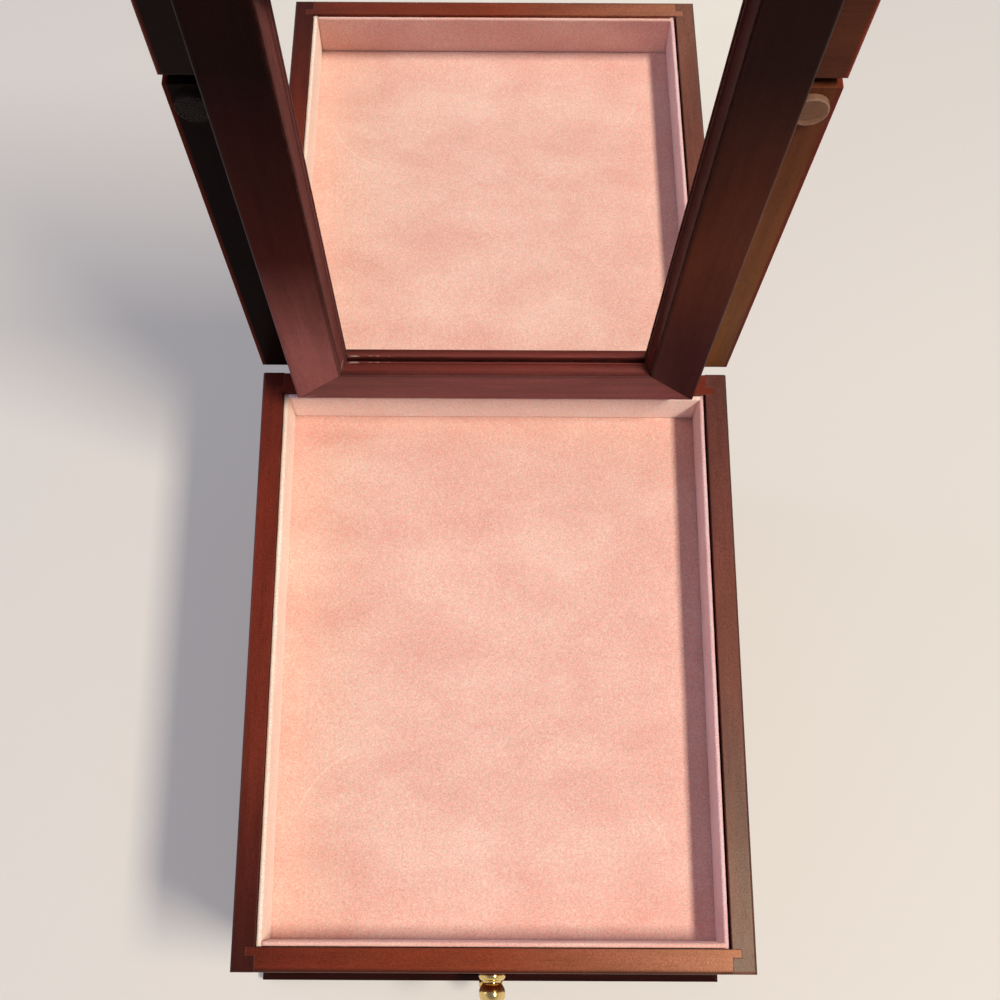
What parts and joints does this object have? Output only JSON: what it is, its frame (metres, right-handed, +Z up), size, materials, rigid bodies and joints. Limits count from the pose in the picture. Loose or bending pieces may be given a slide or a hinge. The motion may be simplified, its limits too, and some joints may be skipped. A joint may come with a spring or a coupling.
{
  "type": "vanity box with mirror",
  "caption": "Wooden vanity box: velvet-lined tray under a stop-hinged lid with a framed mirror inside, above shallow lined drawers with turned brass knobs.",
  "frame": {"origin": "centre of the case's footprint, on the underside of the felt sheet it stands on", "axes": "+X to the right seen from the front, +Y from the front to the back, +Z up"},
  "size_m": [0.2854, 0.3784, 0.497],
  "materials": {
    "mahogany": "satin lacquer",
    "plain_wood": "bare",
    "plywood": "bare",
    "velvet": "short pile",
    "felt": "matte",
    "mirror": "silvered glass",
    "brass": "polished",
    "steel": "plated",
    "clear_rubber": "clear, glossy"
  },
  "bodies": {
    "case": {"back_board": "mahogany", "base_board": "mahogany", "base_felt": "felt", "front_rail": "mahogany", "hinge_case_leaf_left": "brass", "hinge_case_leaf_right": "brass", "hinge_pin_left": "brass", "hinge_pin_right": "brass", "hinge_screws_case": "brass", "lining_back": "velvet", "lining_floor": "velvet", "lining_front": "velvet", "lining_left": "velvet", "lining_right": "velvet", "plinth_back": "mahogany", "plinth_front": "mahogany", "plinth_left": "mahogany", "plinth_right": "mahogany", "shelf": "mahogany", "side_left": "mahogany", "side_right": "mahogany", "tray_panel": "plywood"},
    "lid": {"bumpers": "clear_rubber", "frame_back": "mahogany", "frame_front": "mahogany", "frame_left": "mahogany", "frame_right": "mahogany", "hinge_lid_leaf_left": "brass", "hinge_lid_leaf_right": "brass", "hinge_screws_lid": "brass", "lid_back_rail": "mahogany", "lid_front_board": "mahogany", "lid_stile_left": "mahogany", "lid_stile_right": "mahogany", "lid_top": "mahogany", "mirror_backing": "plywood", "mirror_glass": "mirror", "mirror_retainers": "plain_wood"},
    "drawer_upper": {"drawer_back_upper": "plain_wood", "drawer_bottom_upper": "plywood", "drawer_front_upper": "mahogany", "drawer_pad_upper": "velvet", "drawer_side_left_upper": "plain_wood", "drawer_side_right_upper": "plain_wood", "knob_screw_upper": "steel", "knob_upper": "brass"},
    "drawer_lower": {"drawer_back_lower": "plain_wood", "drawer_bottom_lower": "plywood", "drawer_front_lower": "mahogany", "drawer_pad_lower": "velvet", "drawer_side_left_lower": "plain_wood", "drawer_side_right_lower": "plain_wood", "knob_lower": "brass", "knob_screw_lower": "steel"}
  },
  "joints": [
    {"name": "lid_hinge", "type": "hinge", "parent": "case", "child": "lid", "pos_m": [0, 0.1617, 0.176], "axis": [1, 0, 0], "range_deg": [0, 93.5]},
    {"name": "drawer_upper_slide", "type": "slide", "parent": "case", "child": "drawer_upper", "axis": [0, -1, 0], "range_m": [0, 0.22]},
    {"name": "drawer_lower_slide", "type": "slide", "parent": "case", "child": "drawer_lower", "axis": [0, -1, 0], "range_m": [0, 0.22]}
  ]
}
